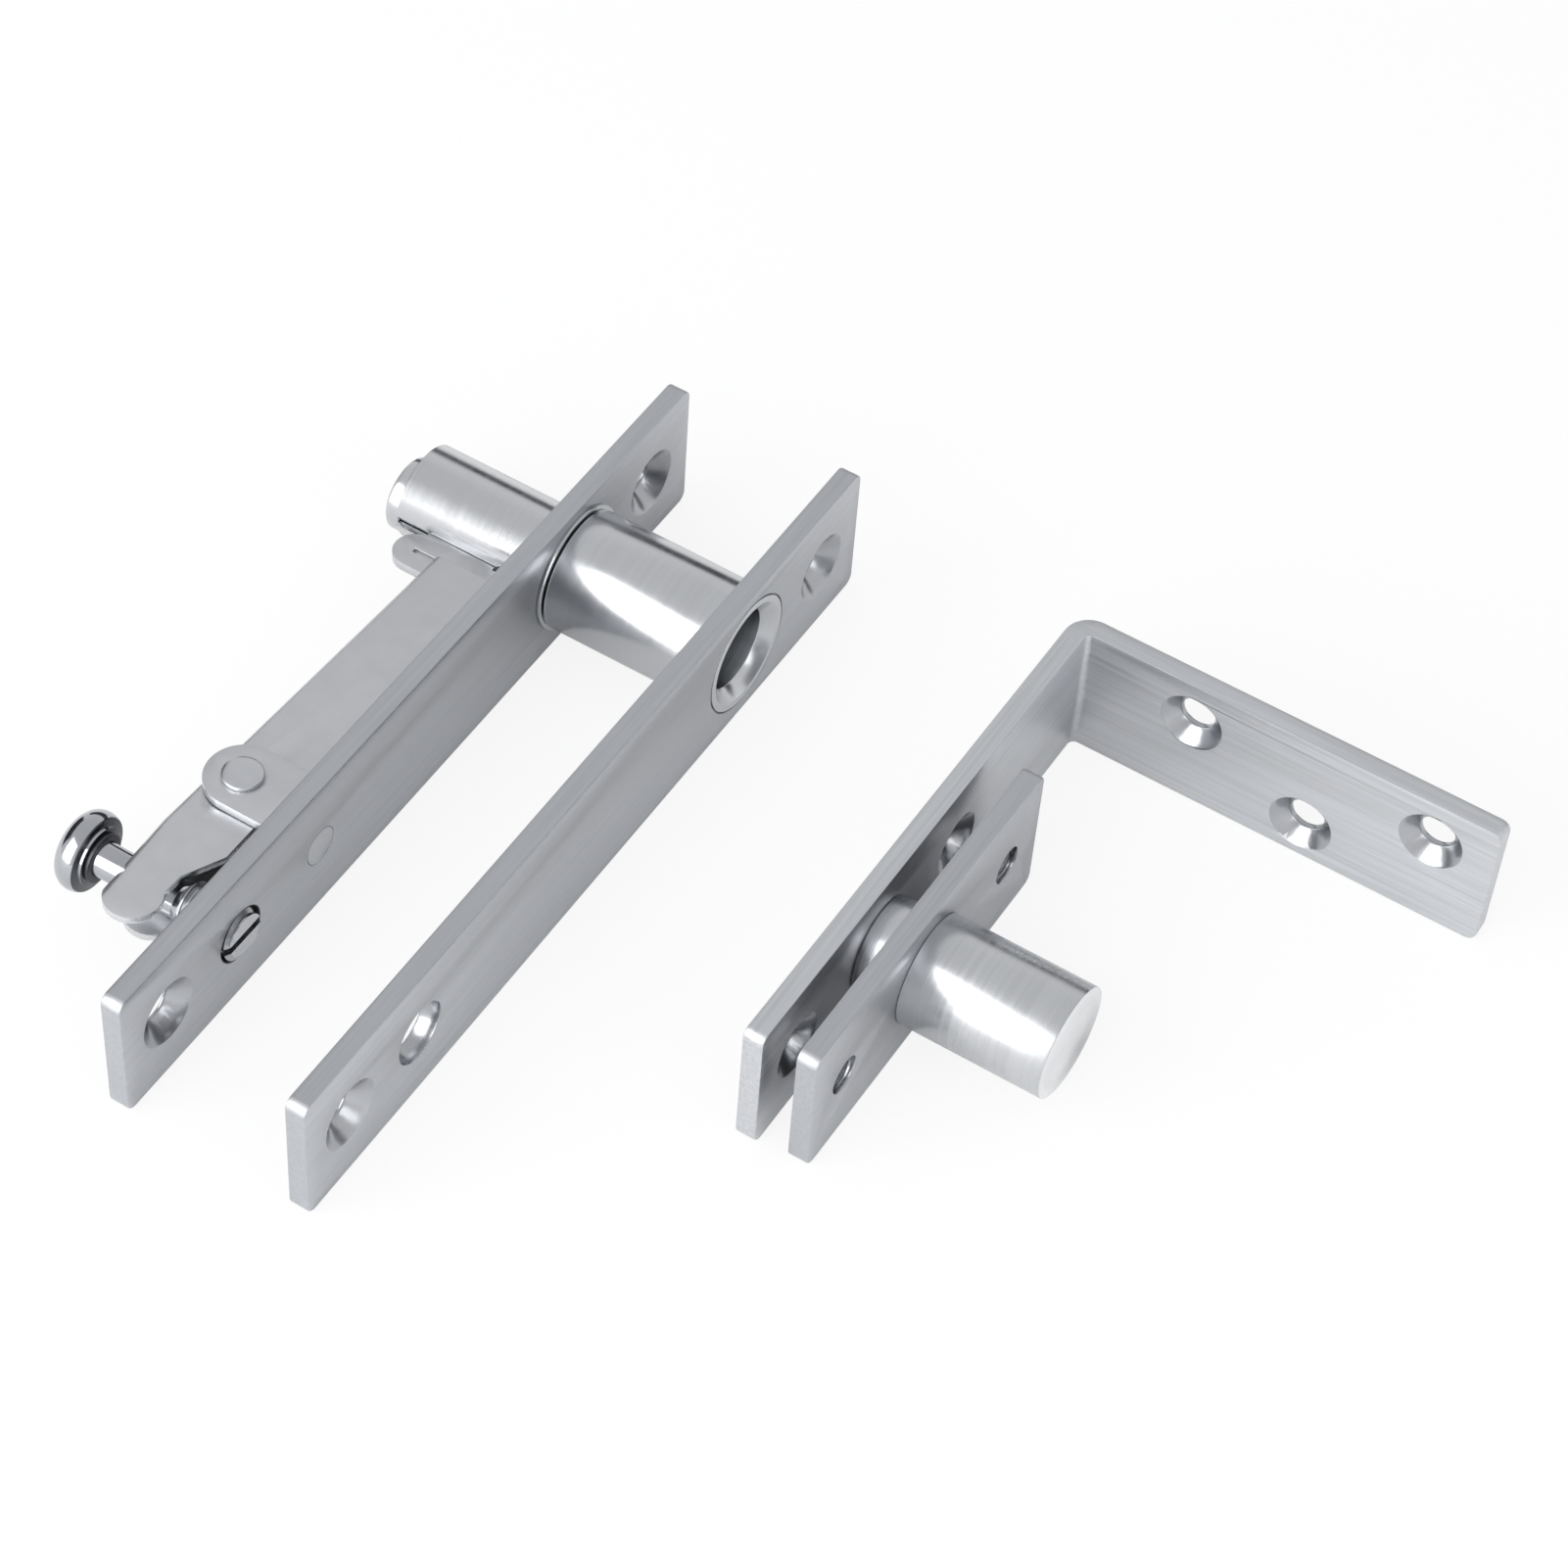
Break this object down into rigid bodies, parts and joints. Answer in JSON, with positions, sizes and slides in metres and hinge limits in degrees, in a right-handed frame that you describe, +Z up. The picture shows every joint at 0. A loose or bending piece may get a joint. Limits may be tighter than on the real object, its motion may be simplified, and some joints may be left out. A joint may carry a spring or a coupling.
{
  "type": "pivot hinge",
  "caption": "Top and bottom pivots for a swing door: a retractable pin worked by an adjusting screw and lever, and a fixed pin on a bent bracket in a cup",
  "frame": {"origin": "middle of the lower long edge of the frame plate, halfway through its thickness", "axes": "+X along both pin axes, from the frame plate to the door plate and the bottom unit; +Y along the plates towards the pins; +Z up, the width of the plates as they stand on their long edges"},
  "size_m": [0.1575, 0.13, 0.022],
  "materials": {
    "satin_plate": "satin stainless steel, brushed along its length",
    "turned_steel": "turned and polished stainless steel",
    "pressed_sheet": "smooth pressed stainless sheet",
    "bright_head": "bright polished"
  },
  "bodies": {
    "frame_unit": {"top_frame_plate": "satin_plate", "pin_sleeve": "turned_steel", "lever_bracket": "pressed_sheet", "fulcrum_rivet": "bright_head", "bracket_rivet": "turned_steel", "floor_bracket": "satin_plate", "bottom_pin": "turned_steel", "spacer_washer": "turned_steel"},
    "pin_body": {"pivot_pin": "turned_steel", "drive_key": "pressed_sheet", "key_pin": "turned_steel"},
    "lever_body": {"lever": "pressed_sheet", "cross_pin": "turned_steel"},
    "washer_body": {"thrust_washer": "bright_head"},
    "screw_body": {"adjusting_screw": "bright_head"},
    "top_door_body": {"top_door_plate": "satin_plate", "top_bush": "turned_steel"},
    "bottom_door_body": {"bottom_door_plate": "satin_plate", "bottom_cup": "turned_steel", "thrust_disc": "turned_steel"}
  },
  "joints": [
    {"name": "pin_slide", "type": "slide", "parent": "frame_unit", "child": "pin_body", "axis": [-1, 0, 0], "range_m": [0, 0.0105]},
    {"name": "screw_advance", "type": "slide", "parent": "frame_unit", "child": "washer_body", "axis": [1, 0, 0], "range_m": [-0.0001, 0.0075]},
    {"name": "screw_turn", "type": "hinge", "parent": "washer_body", "child": "screw_body", "pos_m": [0, -0.0406, 0.011], "axis": [1, 0, 0], "range_deg": [-5, 2135]},
    {"name": "lever_swing", "type": "hinge", "parent": "frame_unit", "child": "lever_body", "pos_m": [-0.0107, -0.0231, 0.011], "axis": [0, 0, 1], "range_deg": [-0.2, 13.9]},
    {"name": "top_swivel", "type": "hinge", "parent": "frame_unit", "child": "top_door_body", "pos_m": [0, 0.0365, 0.011], "axis": [1, 0, 0], "continuous": true},
    {"name": "bottom_swivel", "type": "hinge", "parent": "frame_unit", "child": "bottom_door_body", "pos_m": [0.0771, 0.0044, 0.011], "axis": [1, 0, 0], "continuous": true}
  ],
  "couplings": [
    {"joint": "screw_turn", "follows": "pin_slide", "rad_per_m": 3540.5},
    {"joint": "screw_advance", "follows": "pin_slide", "ratio": 0.70437},
    {"joint": "lever_swing", "follows": "pin_slide", "rad_per_m": 22.772}
  ]
}
